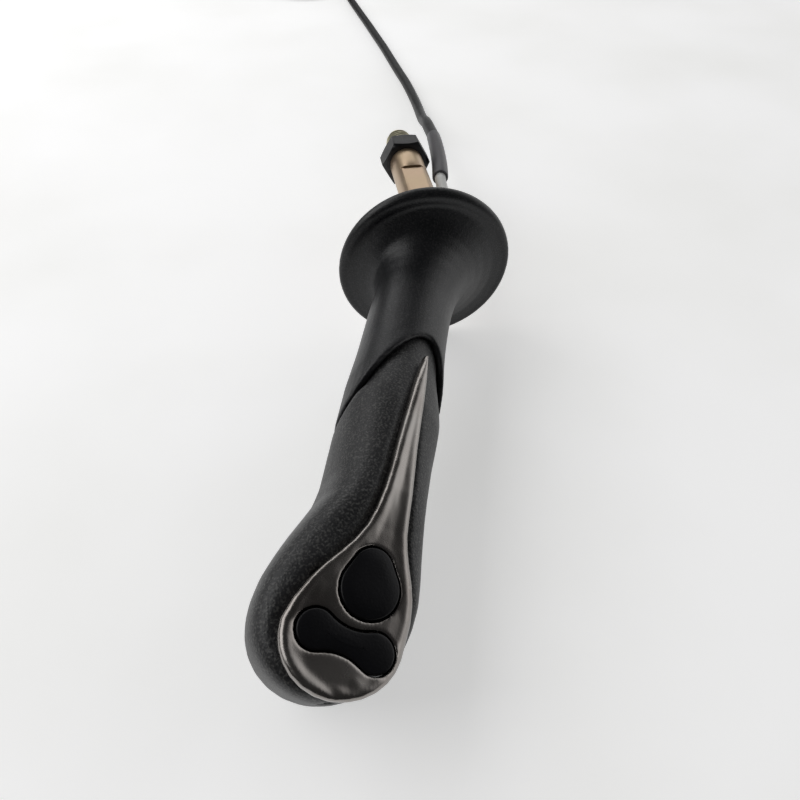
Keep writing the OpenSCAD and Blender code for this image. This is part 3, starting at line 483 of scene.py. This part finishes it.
SWITCH_GREY = finish(
    "switch_grey", (0.07, 0.07, 0.075), (0.05, 0.05, 0.055), 0.35, drift=150,
    grain=0.02 * MM, grain_scale=1500,
)
PLUNGER_WHITE = finish(
    "plunger_white", (0.82, 0.82, 0.78), (0.75, 0.75, 0.7), 0.35, drift=150,
    grain=0.02 * MM, grain_scale=1500,
)
PIN_BRASS = finish(
    "pin_brass", (0.75, 0.6, 0.28), (0.65, 0.5, 0.22), 0.25, metal=1.0, drift=200,
    grain=0.01 * MM, grain_scale=2500,
)


# ---- pieces ----
def add_piece(name, mesh, body, material, stands_for):
    """A finished piece on its body, standing for CAD nodes."""
    ob = bpy.data.objects.new(name, mesh)
    SCENE.collection.objects.link(ob)
    mesh.materials.clear()
    mesh.materials.append(material)
    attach(ob, body)
    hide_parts(*stands_for)
    return ob


def soften(mesh, angle):
    """Smooth shading, with edges sharper than the angle kept crisp."""
    mesh.shade_smooth()
    mesh.set_sharp_from_angle(angle=math.radians(angle))


def joined_copy(node):
    """The faces of a CAD node as a bmesh, joined at their edges."""
    bm = bmesh.new()
    bm.from_mesh(NODES[node].data)
    bmesh.ops.remove_doubles(bm, verts=bm.verts, dist=2e-6)
    return bm


def paint(node, material):
    """Gives a CAD node that is shown as it is its finish."""
    data = NODES[node].data
    data.materials.clear()
    data.materials.append(material)


# ---- the cord and its coil ----
# The cord's diameter in metres, and its route in millimetres
CORD_D = 7 * MM
CORD = [
    (30, 135, 31), (31, 150, 28.6), (32.4, 166, 25.4), (34, 180, 21), (35.6, 192, 16.5),
    (37.4, 206, 12), (39, 222, 8.4), (40.4, 238, 6), (41.2, 254, 4.6), (41.5, 270, 3.7),
    (40.8, 296, 3.6), (39, 322, 3.6), (37, 352, 3.6), (35, 384, 3.6), (32, 420, 3.6),
    (29, 456, 3.6), (25, 500, 3.6), (21.5, 540, 3.6), (20.2, 560, 3.7), (20, 580, 4.1),
    (20, 600, 4.5),
]
COIL_MIDDLE = (-21.5, 610)
OUTER_TURN, INNER_TURN = 41.5, 34.5
# The coil's points, the degrees between them, and where it slips in to its inner turn
COIL_POINTS, COIL_STEP = 33, 22.5
SLIP_START, SLIP_LONG = 290, 60
# How high the coil lies, and where its end climbs over its first turn, by degrees turned
COIL_Z = 4.5
RISE = {675: 4.9, 697.5: 6.1, 720: 8.0}
TAIL = [
    (13, 620, 10), (13.4, 632, 12), (14.4, 644, 11.4), (15.6, 652, 9.8), (16, 658, 9),
    (16, 664, 9),
]


def cord_route():
    """Down from the sleeve to the table, along it, twice round the coil and up to the plug."""
    route = [place(*p) for p in CORD]
    for i in range(COIL_POINTS):
        turned = i * COIL_STEP
        slip = min(1.0, max(0.0, (turned - SLIP_START) / SLIP_LONG))
        r = OUTER_TURN + (INNER_TURN - OUTER_TURN) * slip * slip * (3 - 2 * slip)
        a = math.radians(turned)
        x, y = COIL_MIDDLE[0] + r * math.cos(a), COIL_MIDDLE[1] + r * math.sin(a)
        route.append(place(x, y, RISE.get(turned, COIL_Z)))
    return route + [place(*p) for p in TAIL]


def curve_through(name, points, radius):
    """A round cord on one smooth curve through the points."""
    curve = bpy.data.curves.new(name, "CURVE")
    curve.dimensions = "3D"
    curve.bevel_depth = radius
    curve.bevel_resolution = 5
    curve.resolution_u = 8
    curve.use_fill_caps = True
    line = curve.splines.new("BEZIER")
    last = len(points) - 1
    line.bezier_points.add(last)
    for i, (knot, here) in enumerate(zip(line.bezier_points, points)):
        before, after = points[max(i - 1, 0)], points[min(i + 1, last)]
        way = (after - before).normalized()
        knot.co = here
        knot.handle_left_type = knot.handle_right_type = "FREE"
        knot.handle_left = here - way * (here - before).length / 3
        knot.handle_right = here + way * (after - here).length / 3
    return curve


def lay_cord():
    """The cord as one curve, in place of its CAD tube and coil."""
    route = cord_route()
    curve = curve_through("cord_line", route, CORD_D / 2)
    ob = add_piece("free_cord", curve, "handle", CORD_GREY, ("cord", "cord_coil"))


# ---- helpers that make the shapes ----
def finish_mesh(bm, name, angle, turn=None):
    """A bmesh made a mesh with outward faces and soft shading, turned to its place."""
    if turn is not None:
        bmesh.ops.transform(bm, matrix=turn, verts=bm.verts)
    bmesh.ops.recalc_face_normals(bm, faces=bm.faces)
    mesh = bpy.data.meshes.new(name)
    bm.to_mesh(mesh)
    bm.free()
    soften(mesh, angle)
    return mesh


def tube_of_rings(bm, rings, sides):
    """A tube through rings, each a middle, a radius and the way it faces, open at its ends."""
    last = None
    for middle, radius, way in rings:
        turn = Vector(way).to_track_quat("Z", "X").to_matrix().to_4x4()
        ring = bmesh.ops.create_circle(
            bm, segments=sides, radius=radius, matrix=Matrix.Translation(middle) @ turn
        )["verts"]
        edges = list({e for v in ring for e in v.link_edges})
        if last:
            bmesh.ops.bridge_loops(bm, edges=last + edges)
        last = edges


def close_ends(bm):
    """Closes a tube's open ends."""
    bmesh.ops.holes_fill(bm, edges=[e for e in bm.edges if e.is_boundary])


def arc(bm, tip, middle, degrees, steps):
    """Runs an edge chain on from tip, round a middle in the plane; gives its new tip."""
    made = bmesh.ops.spin(
        bm, geom=[tip], cent=(*middle, 0), axis=(0, 0, 1), angle=math.radians(degrees), steps=steps,
        use_duplicate=False,
    )
    return made["geom_last"][0]


def closed_face(bm):
    """One face inside an outline whose ends meet."""
    bmesh.ops.remove_doubles(bm, verts=bm.verts, dist=1e-6)
    return bmesh.ops.contextual_create(bm, geom=bm.edges[:])["faces"][0]


# ---- the two buttons ----
# The egg-shaped button: the middles and radii of its big and small end, in the face's plane
EGG, EGG_R = (-1.4 * MM, -7.3 * MM), 7.7 * MM
EGG_TIP, EGG_TIP_R = (-0.4 * MM, -12.5 * MM), 5.3 * MM
# The rocker: how far its lobes lie from its middle, their radius, half its waist, and its place
LOBE_X, LOBE_R, WAIST, ROCKER_Y = 7.7 * MM, 4.8 * MM, 3 * MM, 6.7 * MM
FLANK_R = (LOBE_X**2 + WAIST**2 - LOBE_R**2) / (2 * (LOBE_R - WAIST))


def egg_outline(bm, grow=0.0):
    """Two round ends of different size, joined by straight flanks."""
    big, small = EGG_R + grow, EGG_TIP_R + grow
    way = Vector(EGG_TIP) - Vector(EGG)
    heading = math.atan2(way.y, way.x)
    spread = math.acos((big - small) / way.length)
    start = heading + spread
    tip = bm.verts.new((EGG[0] + big * math.cos(start), EGG[1] + big * math.sin(start), 0))
    wide = math.degrees(2 * math.pi - 2 * spread)
    arc(bm, tip, EGG, wide, 44)
    far = heading - spread
    tip = bm.verts.new((EGG_TIP[0] + small * math.cos(far), EGG_TIP[1] + small * math.sin(far), 0))
    arc(bm, tip, EGG_TIP, 360 - wide, 22)
    ends = [v for v in bm.verts if len(v.link_edges) == 1]
    for v in ends:
        if not v.tag:
            free = [w for w in ends if w is not v and not w.tag]
            other = min(free, key=lambda w: (w.co - v.co).length)
            v.tag = other.tag = True
            bmesh.ops.contextual_create(bm, geom=[v, other])
    return closed_face(bm)


def rocker_outline(bm):
    """Two round lobes and the hollow flanks between them."""
    touch = math.atan2(WAIST + FLANK_R, -LOBE_X)
    round_lobe = math.degrees(2 * touch)
    bend = math.degrees(2 * (touch - math.pi / 2))
    start = (LOBE_X + LOBE_R * math.cos(-touch), ROCKER_Y + LOBE_R * math.sin(-touch), 0)
    tip = bm.verts.new(start)
    tip = arc(bm, tip, (LOBE_X, ROCKER_Y), round_lobe, 34)
    tip = arc(bm, tip, (0, ROCKER_Y + WAIST + FLANK_R), -bend, 14)
    tip = arc(bm, tip, (-LOBE_X, ROCKER_Y), round_lobe, 34)
    arc(bm, tip, (0, ROCKER_Y - WAIST - FLANK_R), -bend, 14)
    return closed_face(bm)


# How much of the crown each ring of a cap's top lifts, and how far in from the last it lies
CROWN_RINGS = [(0.6 * MM, 0.35), (0.9 * MM, 0.32), (0.9 * MM, 0.2), (0.7 * MM, 0.1)]


def cap(bm, outline, low, high, edge, crown):
    """A button's cap over an outline: straight sides, a rolled edge and a crowned top."""
    face = outline(bm)
    bmesh.ops.translate(bm, vec=(0, 0, low), verts=face.verts)
    side = bmesh.ops.extrude_face_region(bm, geom=[face])
    top = [g for g in side["geom"] if isinstance(g, bmesh.types.BMFace)][0]
    bmesh.ops.translate(bm, vec=(0, 0, high - edge - low), verts=top.verts)
    done = 0.0
    for angle in (22.5, 45, 67.5, 90):
        out = edge * (1 - math.cos(math.radians(angle)))
        up = edge * math.sin(math.radians(angle))
        bmesh.ops.inset_region(bm, faces=[top], thickness=out - done, use_even_offset=True)
        bmesh.ops.translate(
            bm, vec=(0, 0, high - edge + up - top.calc_center_median().z), verts=top.verts
        )
        done = out
    for step, lift in CROWN_RINGS:
        bmesh.ops.inset_region(bm, faces=[top], thickness=step, use_even_offset=True)
        bmesh.ops.translate(bm, vec=(0, 0, crown * lift), verts=top.verts)
    bmesh.ops.triangulate(bm, faces=[top])


def joint(name):
    """A joint of the record, by its name."""
    return next(j for j in frame["record"]["behaviour"]["joints"] if j["name"] == name)


# How far the rocker's pin lies below the face
PIN_DEPTH = 3 * MM


def face_matrix():
    """The frame of the controls: +Z out of the face, +Y to the end of the head."""
    out = -Vector(joint("horn_press")["axis"]).normalized()
    along = Vector(joint("rocker_tilt")["axis"]).normalized()
    across = along.cross(out).normalized()
    out = across.cross(along)
    pivot = Vector(joint("rocker_tilt")["pos_m"])
    base = pivot - along * ROCKER_Y + out * PIN_DEPTH
    turn = Matrix((across, along, out)).transposed().to_4x4()
    return Matrix.Translation(base) @ turn


FACE = face_matrix()
# The caps: how high they stand over the face, and how far their edges are rolled
BUTTON_TOP, CAP_EDGE = 1.9 * MM, 0.55 * MM
# The flange that keeps the egg-shaped one under the trim: how far out it stands, and its faces
FLANGE_OUT, FLANGE_LOW, FLANGE_HIGH = 0.8 * MM, -2.15 * MM, -1.35 * MM
# The rocker's underside, and how far under the made caps the CAD's lower parts are cut off
ROCKER_LOW, CUT_UNDER = -0.9 * MM, 0.05 * MM


def lower_part(bm, node, height):
    """Adds what a CAD button has below a height in the frame of the controls."""
    low = joined_copy(node)
    bmesh.ops.transform(low, matrix=FACE.inverted(), verts=low.verts)
    cut = bmesh.ops.bisect_plane(
        low, geom=low.verts[:] + low.edges[:] + low.faces[:], dist=1e-7, plane_co=(0, 0, height),
        plane_no=(0, 0, 1), clear_outer=True,
    )
    rims = [g for g in cut["geom_cut"] if isinstance(g, bmesh.types.BMEdge)]
    bmesh.ops.holes_fill(low, edges=rims)
    part = bpy.data.meshes.new("low_part")
    low.to_mesh(part)
    low.free()
    bm.from_mesh(part)
    bpy.data.meshes.remove(part)


def make_horn_cap():
    """The egg-shaped button: its flange, its cap, and the stem that the CAD gives it."""
    bm = bmesh.new()
    flange = egg_outline(bm, FLANGE_OUT)
    bmesh.ops.translate(bm, vec=(0, 0, FLANGE_LOW), verts=flange.verts)
    grown = bmesh.ops.extrude_face_region(bm, geom=[flange])
    shelf = [g for g in grown["geom"] if isinstance(g, bmesh.types.BMFace)][0]
    bmesh.ops.translate(bm, vec=(0, 0, FLANGE_HIGH - FLANGE_LOW), verts=shelf.verts)
    cap(bm, egg_outline, FLANGE_HIGH, BUTTON_TOP, CAP_EDGE, crown=0.45 * MM)
    lower_part(bm, "horn_button", FLANGE_LOW - CUT_UNDER)
    mesh = finish_mesh(bm, "horn_cap", 42, FACE)
    add_piece("horn_cap", mesh, "horn", BUTTON_BLACK, ("horn_button",))


def make_rocker_cap():
    """The rocker: its cap, and the hub and feet that the CAD gives it."""
    bm = bmesh.new()
    cap(bm, rocker_outline, ROCKER_LOW, BUTTON_TOP, CAP_EDGE, crown=0.3 * MM)
    lower_part(bm, "rocker", ROCKER_LOW - CUT_UNDER)
    mesh = finish_mesh(bm, "rocker_cap", 42, FACE)
    add_piece("rocker_cap", mesh, "rocker_key", BUTTON_BLACK, ("rocker",))


# ---- the sleeve round the cord, and the white tube on the leads ----
SLEEVE = [(22.2, 77, 35), (24.3, 88, 35.1), (26.2, 102, 34.8), (28.2, 119, 33.5), (30, 135, 31)]
SLEEVE_R, SLEEVE_TAPER = 4.15 * MM, 0.25 * MM
# How the sleeve's cut end leans from square
SLEEVE_SLANT = Vector((0.35, 0.1, -0.45))
TUBE = [
    (3.3, -17.82, 32.96), (8.03, -4.63, 33.64), (13.19, 10.52, 34.43), (18.36, 25.67, 35.21),
    (19.9, 50, 35.2), (20.8, 64, 35.1), (22.2, 77, 35), (23.4, 83, 35),
]
TUBE_R = 2.8 * MM


def sleeve_rings():
    """The sleeve's rings: a thin wall at its mouth, a slow taper, and a tip cut aslant."""
    spots = [place(*p) for p in SLEEVE]
    last = len(spots) - 1
    ways = [
        (spots[min(i + 1, last)] - spots[max(i - 1, 0)]).normalized() for i in range(last + 1)
    ]
    mouth, along = spots[0], ways[0]
    rings = [
        (mouth + along * 0.4 * MM, 2.9 * MM, along),
        (mouth, 3.95 * MM, along),
        (mouth + along * 0.5 * MM, SLEEVE_R, along),
    ]
    for i in range(1, last):
        rings.append((spots[i], SLEEVE_R - SLEEVE_TAPER * i / last, ways[i]))
    tip, along = spots[last], ways[last]
    slant = (along + SLEEVE_SLANT).normalized()
    return rings + [
        (tip - along * 6 * MM, 3.9 * MM, along),
        (tip - along * 2.2 * MM, 3.88 * MM, slant),
        (tip - along * 1.6 * MM, 3.8 * MM, slant),
        (tip - along * 1.6 * MM, 3.4 * MM, slant),
    ]


def make_sleeve():
    """The shrink sleeve, which holds the cord where it leaves the handle."""
    bm = bmesh.new()
    tube_of_rings(bm, sleeve_rings(), 28)
    close_ends(bm)
    mesh = finish_mesh(bm, "shrink_sleeve", 40)
    sleeve = add_piece(
        "shrink_sleeve", mesh, "handle", SLEEVE_GREY, ("cord_sleeve",)
    )
    rounder = sleeve.modifiers.new("rounder", "SUBSURF")
    rounder.levels = rounder.render_levels = 2


def make_lead_tube():
    """The white tube round the leads, between the bell and the sleeve."""
    curve = curve_through("lead_line", [place(*p) for p in TUBE], TUBE_R)
    add_piece("white_lead_tube", curve, "handle", LEAD_WHITE, ("lead_tube",))


# ---- the lever rod, its thread and the lock nut ----
# The line of the rod's straight end, and the shoulder that the lock nut sits on
ROD_AXIS = Vector((STUB_X, 0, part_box("skirt")[0].z + 35.3 * MM))
SHOULDER = ROD_HIGH.y - 30.5 * MM
ROD_R = 8.6 * MM
# How far back from the shoulder the bent part of the CAD rod is kept
BEND_BACK = 46 * MM
# Distance back from the shoulder, and half the height that is left there, in millimetres
ROD_STEPS = [
    (50, 8.8), (49, 6.8), (17.6, 6.8), (17.4, 6.4), (17, 6.4), (16.9, 7.6), (13.5, 8.8), (0.6, 8.8),
    (0, 8.8),
]
# The thread: its core, its rise and its steps a turn, and how far its ridge falls short in all
CORE_R, PITCH, TURN_STEPS, RIDGE_SHORT = 5.95 * MM, 2 * MM, 28, 4.2 * MM
# The ridge's section: distance out from the rod's line, and along it
RIDGE = [
    (5.9 * MM, -0.95 * MM), (6.95 * MM, -0.18 * MM), (6.95 * MM, 0.18 * MM), (5.9 * MM, 0.95 * MM),
]


def on_rod(y):
    """The point of the rod's line at y."""
    return Vector((ROD_AXIS.x, y, ROD_AXIS.z))


def make_rod_bend():
    """The bent part of the rod, as the CAD has it."""
    bm = joined_copy("lever_rod")
    cut = bmesh.ops.bisect_plane(
        bm, geom=bm.verts[:] + bm.edges[:] + bm.faces[:], dist=1e-7,
        plane_co=(0, SHOULDER - BEND_BACK, 0), plane_no=(0, 1, 0), clear_outer=True,
    )
    rims = [g for g in cut["geom_cut"] if isinstance(g, bmesh.types.BMEdge)]
    bmesh.ops.holes_fill(bm, edges=rims)
    mesh = finish_mesh(bm, "lever_rod_bend", 30)
    add_piece("lever_rod_bend", mesh, "handle", ROD_ZINC, ("lever_rod",))


def make_rod_straight():
    """The straight part: round, with a long wrench flat above and below and a slit at its end."""
    bm = bmesh.new()
    rings = [(on_rod(SHOULDER - back * MM), ROD_R, (0, 1, 0)) for back, _ in ROD_STEPS]
    tube_of_rings(bm, rings, 72)
    for v in bm.verts:
        back = (SHOULDER - v.co.y) / MM
        half = min(ROD_STEPS, key=lambda step: abs(step[0] - back))[1] * MM
        v.co.z = ROD_AXIS.z + max(-half, min(half, v.co.z - ROD_AXIS.z))
    close_ends(bm)
    mesh = finish_mesh(bm, "lever_rod_straight", 24)
    add_piece("lever_rod_straight", mesh, "handle", ROD_ZINC, ("lever_rod",))


def make_thread():
    """The thread's core with its tapered tip, and its ridge carried round and along."""
    bm = bmesh.new()
    tip = ROD_HIGH.y
    rings = [
        (on_rod(SHOULDER - 1 * MM), CORE_R, (0, 1, 0)),
        (on_rod(tip - 1.3 * MM), CORE_R, (0, 1, 0)),
        (on_rod(tip - 0.25 * MM), 5.2 * MM, (0, 1, 0)),
        (on_rod(tip), 4.7 * MM, (0, 1, 0)),
    ]
    tube_of_rings(bm, rings, 48)
    close_ends(bm)
    first = on_rod(SHOULDER + 1 * MM)
    section = [bm.verts.new(first + Vector((out, along, 0))) for out, along in RIDGE]
    chain = [bm.edges.new(pair) for pair in zip(section, section[1:] + section[:1])]
    steps = int((tip - SHOULDER - RIDGE_SHORT) / PITCH * TURN_STEPS)
    bmesh.ops.spin(
        bm, geom=section + chain, cent=ROD_AXIS, axis=(0, 1, 0), dvec=(0, PITCH / TURN_STEPS, 0),
        angle=2 * math.pi * steps / TURN_STEPS, steps=steps, use_duplicate=False,
    )
    close_ends(bm)
    mesh = finish_mesh(bm, "threaded_stub", 35)
    add_piece("threaded_stub", mesh, "handle", STUB_ZINC, ("lever_rod",))


def make_lock_nut():
    """The CAD nut with its edges broken."""
    mesh = finish_mesh(joined_copy("lock_nut"), "lock_nut_skin", 28)
    nut = add_piece("lock_nut_skin", mesh, "handle", NUT_BLACK, ("lock_nut",))
    edge = nut.modifiers.new("edge", "BEVEL")
    edge.width = 0.3 * MM
    edge.segments = 2
    edge.limit_method = "ANGLE"
    edge.angle_limit = math.radians(25)
    edge.harden_normals = True


# ---- the moulded shells, the trim and the springs ----
def melted_skin(node, body, material, cell, passes, extra=None):
    """A CAD node's shape with its facets melted into one even surface."""
    bm = joined_copy(node)
    if extra:
        extra(bm)
    mesh = bpy.data.meshes.new(node + "_skin")
    bm.to_mesh(mesh)
    bm.free()
    mesh.shade_smooth()
    ob = add_piece(node + "_skin", mesh, body, material, (node,))
    even = ob.modifiers.new("even", "REMESH")
    even.mode = "VOXEL"
    even.voxel_size = cell
    even.use_smooth_shade = True
    melt = ob.modifiers.new("melt", "SMOOTH")
    melt.factor = 0.5
    melt.iterations = passes


# The lip: the mouth's radius, its own, the middle of the ring, and how much wider than high it is
MOUTH_R, LIP_R = 35.25 * MM, 3.2 * MM
LIP_MIDDLE = (0, 0.9, 35.27)
LIP_WIDER = 1.02
# The share of its thickness at the bottom, and what it gains up to the top
LIP_THIN, LIP_GAIN = 0.55, 0.45


def rolled_lip(bm):
    """The rolled lip round the bell's mouth, thickest at the top."""
    upright = Matrix.Rotation(math.pi / 2, 4, "X")
    ring = bmesh.ops.create_circle(
        bm, segments=20, radius=LIP_R, matrix=Matrix.Translation((MOUTH_R - LIP_R, 0, 0)) @ upright
    )["verts"]
    edges = list({e for v in ring for e in v.link_edges})
    old = set(bm.verts)
    bmesh.ops.spin(
        bm, geom=ring + edges, cent=(0, 0, 0), axis=(0, 0, 1), angle=2 * math.pi, steps=128,
        use_merge=True, use_duplicate=False,
    )
    made = ring + [v for v in bm.verts if v not in old]
    for v in made:
        out = Vector((v.co.x, v.co.y, 0)).normalized()
        edge = out * MOUTH_R
        thick = LIP_THIN + LIP_GAIN * max(0.0, out.y)
        v.co = edge + (v.co - edge) * thick
        v.co.x *= LIP_WIDER
    bmesh.ops.transform(bm, matrix=Matrix.Translation(place(*LIP_MIDDLE)) @ upright, verts=made)
    faces = list({f for v in made for f in v.link_faces})
    bmesh.ops.recalc_face_normals(bm, faces=faces)


def make_shell_skins():
    """The bell, the two shells and the trim, each melted on cells that suit its size."""
    melted_skin("skirt", "handle", BELL_BLACK, 0.6 * MM, 10, rolled_lip)
    melted_skin("rear_shell", "handle", SHELL_BLACK, 0.6 * MM, 30)
    melted_skin("front_shell", "handle", SHELL_BLACK, 0.6 * MM, 30)
    melted_skin("face_trim", "handle", TRIM_METAL, 0.33 * MM, 20)


def live_spring(node):
    """A return spring: the CAD's coil as a piece with a mesh of its own."""
    bm = joined_copy(node)
    mesh = finish_mesh(bm, node + "_coil", 40)
    ob = add_piece(node + "_coil", mesh, "handle", STEEL, (node,))
    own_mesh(ob)


def make_springs():
    """The button's spring gives 1.5 mm, and the rocker's two give 0.6 mm each."""
    live_spring("horn_spring")
    live_spring("rocker_springs")


# The CAD nodes that are shown as they are, and the finish of each
FINISH_OF = {
    "trim_screws": STEEL, "rocker_pin": STEEL, "button_carrier": CARRIER_IVORY,
    "carrier_screws": STEEL, "switch_board": BOARD_GREEN, "board_screws": STEEL,
    "horn_switch": SWITCH_GREY, "rocker_switches": SWITCH_GREY, "horn_plunger": PLUNGER_WHITE,
    "rocker_plunger_left": PLUNGER_WHITE, "rocker_plunger_right": PLUNGER_WHITE,
    "board_connector": PLUNGER_WHITE, "inner_lead": LEAD_WHITE, "shell_screws": DARK_STEEL,
    "rod_socket": ALLOY, "set_screws": DARK_STEEL, "cord_tie": TIE_BLACK,
    "plug_boot": PLUG_BLACK, "plug_body": PLUG_BLACK, "plug_lock": PLUG_BLACK,
    "plug_pins": PIN_BRASS,
}


studio()
lay_cord()
make_sleeve()
make_lead_tube()
make_horn_cap()
make_rocker_cap()
make_rod_bend()
make_rod_straight()
make_thread()
make_lock_nut()
make_shell_skins()
make_springs()
for node, material in FINISH_OF.items():
    paint(node, material)
